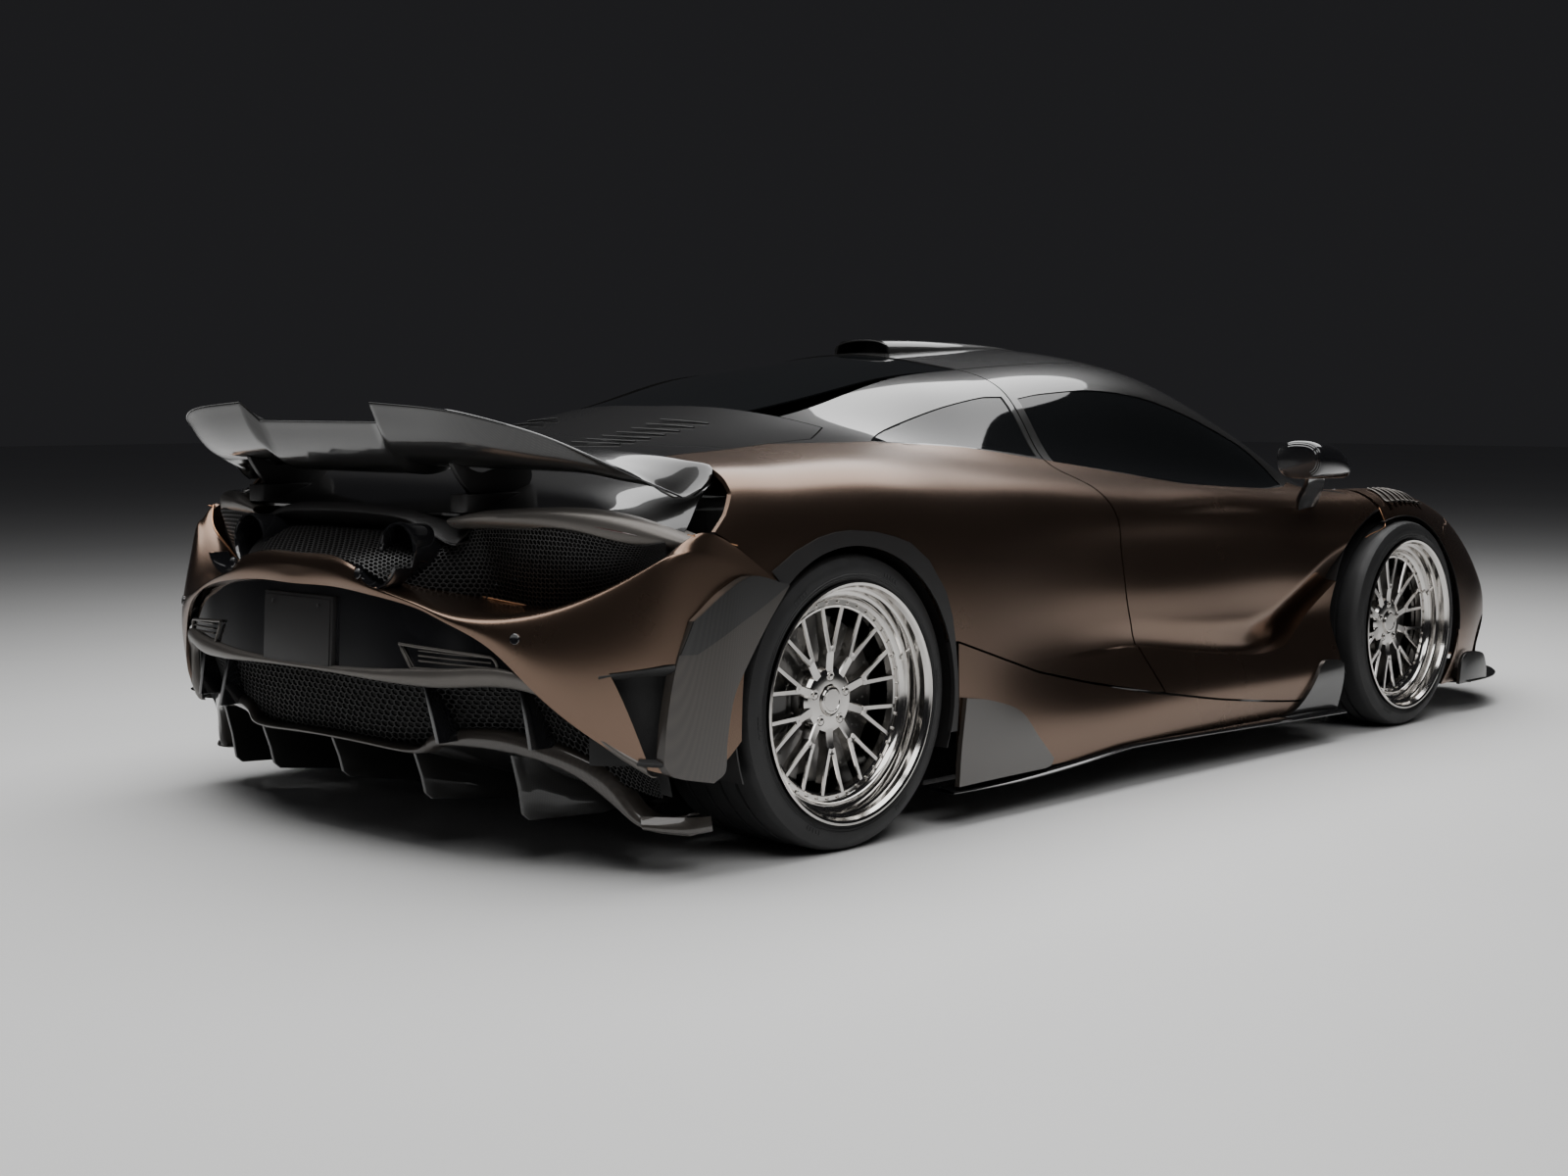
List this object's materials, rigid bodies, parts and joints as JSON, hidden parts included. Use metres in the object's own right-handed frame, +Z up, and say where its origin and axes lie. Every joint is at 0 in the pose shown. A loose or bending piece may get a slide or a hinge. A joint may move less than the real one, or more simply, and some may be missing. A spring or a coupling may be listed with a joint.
{
  "type": "supercar",
  "caption": "Low mid-engined two-seat supercar with dihedral doors, front lid, steered front wheels, rear wing, diffuser and aero blades.",
  "frame": {"origin": "on the ground at the middle of the overall length and width", "axes": "+X forward, +Y to the car's left, +Z up"},
  "size_m": [4.55, 2.16, 1.2161],
  "materials": {
    "bronze_paint": "satin",
    "carbon": "glossy",
    "black_plastic": "matte",
    "tinted_glass": "glossy",
    "lamp_red": "glossy",
    "lamp_clear": "glossy",
    "tyre": "matte",
    "alloy": "polished",
    "steel": "brushed",
    "iron": "rough",
    "caliper": "satin",
    "seat_fabric": "matte"
  },
  "bodies": {
    "body": {"monocoque": "carbon", "hinges": "steel", "roof_panel": "carbon", "windscreen": "tinted_glass", "rear_windows": "tinted_glass", "rear_bumper": "bronze_paint", "rear_quarters": "bronze_paint", "front_fenders": "bronze_paint", "windscreen_pillars": "bronze_paint", "front_bumper": "bronze_paint", "engine_cover": "carbon", "cowl": "black_plastic", "underbody": "black_plastic", "side_skirts": "carbon", "front_splitter": "carbon", "diffuser": "carbon", "rear_fascia": "black_plastic", "exhaust": "steel", "rear_grille": "black_plastic", "tail_lights": "lamp_red", "rear_wing": "carbon", "roof_scoop": "carbon", "headlamps": "lamp_clear", "seats": "seat_fabric", "dashboard": "black_plastic", "subframes": "alloy", "engine": "alloy", "luggage_bin": "black_plastic", "wheel_liners": "black_plastic", "rear_calipers": "caliper", "suspension": "iron"},
    "door_right": {"door_right": "bronze_paint", "door_glass_right": "tinted_glass", "door_mirror_right": "carbon"},
    "door_left": {"door_left": "bronze_paint", "door_glass_left": "tinted_glass", "door_mirror_left": "carbon"},
    "front_lid": {"front_lid": "bronze_paint"},
    "steering_wheel": {"steering_wheel": "black_plastic"},
    "knuckle_right": {"knuckle_front_right": "alloy", "caliper_front_right": "caliper"},
    "knuckle_left": {"knuckle_front_left": "alloy", "caliper_front_left": "caliper"},
    "wheel_front_right": {"tyre_front_right": "tyre", "rim_front_right": "alloy", "brake_disc_front_right": "iron"},
    "wheel_front_left": {"tyre_front_left": "tyre", "rim_front_left": "alloy", "brake_disc_front_left": "iron"},
    "wheel_rear_right": {"tyre_rear_right": "tyre", "rim_rear_right": "alloy", "brake_disc_rear_right": "iron"},
    "wheel_rear_left": {"tyre_rear_left": "tyre", "rim_rear_left": "alloy", "brake_disc_rear_left": "iron"}
  },
  "joints": [
    {"name": "door_right_hinge", "type": "hinge", "parent": "body", "child": "door_right", "pos_m": [1.14, -0.695, 0.735], "axis": [-0.8152, 0.3861, 0.4317], "range_deg": [0, 62]},
    {"name": "door_left_hinge", "type": "hinge", "parent": "body", "child": "door_left", "pos_m": [1.14, 0.695, 0.735], "axis": [0.8152, 0.3861, -0.4317], "range_deg": [0, 62]},
    {"name": "front_lid_hinge", "type": "hinge", "parent": "body", "child": "front_lid", "pos_m": [1.056, 0, 0.806], "axis": [0, -1, 0], "range_deg": [0, 50]},
    {"name": "steer_left", "type": "hinge", "parent": "body", "child": "knuckle_left", "pos_m": [1.26, 0.7525, 0.328], "axis": [0, 0, 1], "range_deg": [-30, 30]},
    {"name": "steer_right", "type": "hinge", "parent": "body", "child": "knuckle_right", "pos_m": [1.26, -0.7525, 0.328], "axis": [0, 0, 1], "range_deg": [-30, 30]},
    {"name": "steering_wheel_turn", "type": "hinge", "parent": "body", "child": "steering_wheel", "pos_m": [0.49, 0.335, 0.64], "axis": [-0.9272, 0, 0.3746], "range_deg": [-450, 450]},
    {"name": "spin_front_right", "type": "hinge", "parent": "knuckle_right", "child": "wheel_front_right", "pos_m": [1.26, -0.8325, 0.328], "axis": [0, 1, 0], "continuous": true},
    {"name": "spin_front_left", "type": "hinge", "parent": "knuckle_left", "child": "wheel_front_left", "pos_m": [1.26, 0.8325, 0.328], "axis": [0, 1, 0], "continuous": true},
    {"name": "spin_rear_right", "type": "hinge", "parent": "body", "child": "wheel_rear_right", "pos_m": [-1.41, -0.8025, 0.3455], "axis": [0, 1, 0], "continuous": true},
    {"name": "spin_rear_left", "type": "hinge", "parent": "body", "child": "wheel_rear_left", "pos_m": [-1.41, 0.8025, 0.3455], "axis": [0, 1, 0], "continuous": true}
  ],
  "couplings": [
    {"joint": "steer_right", "follows": "steer_left", "ratio": 1},
    {"joint": "steering_wheel_turn", "follows": "steer_left", "ratio": 15}
  ]
}
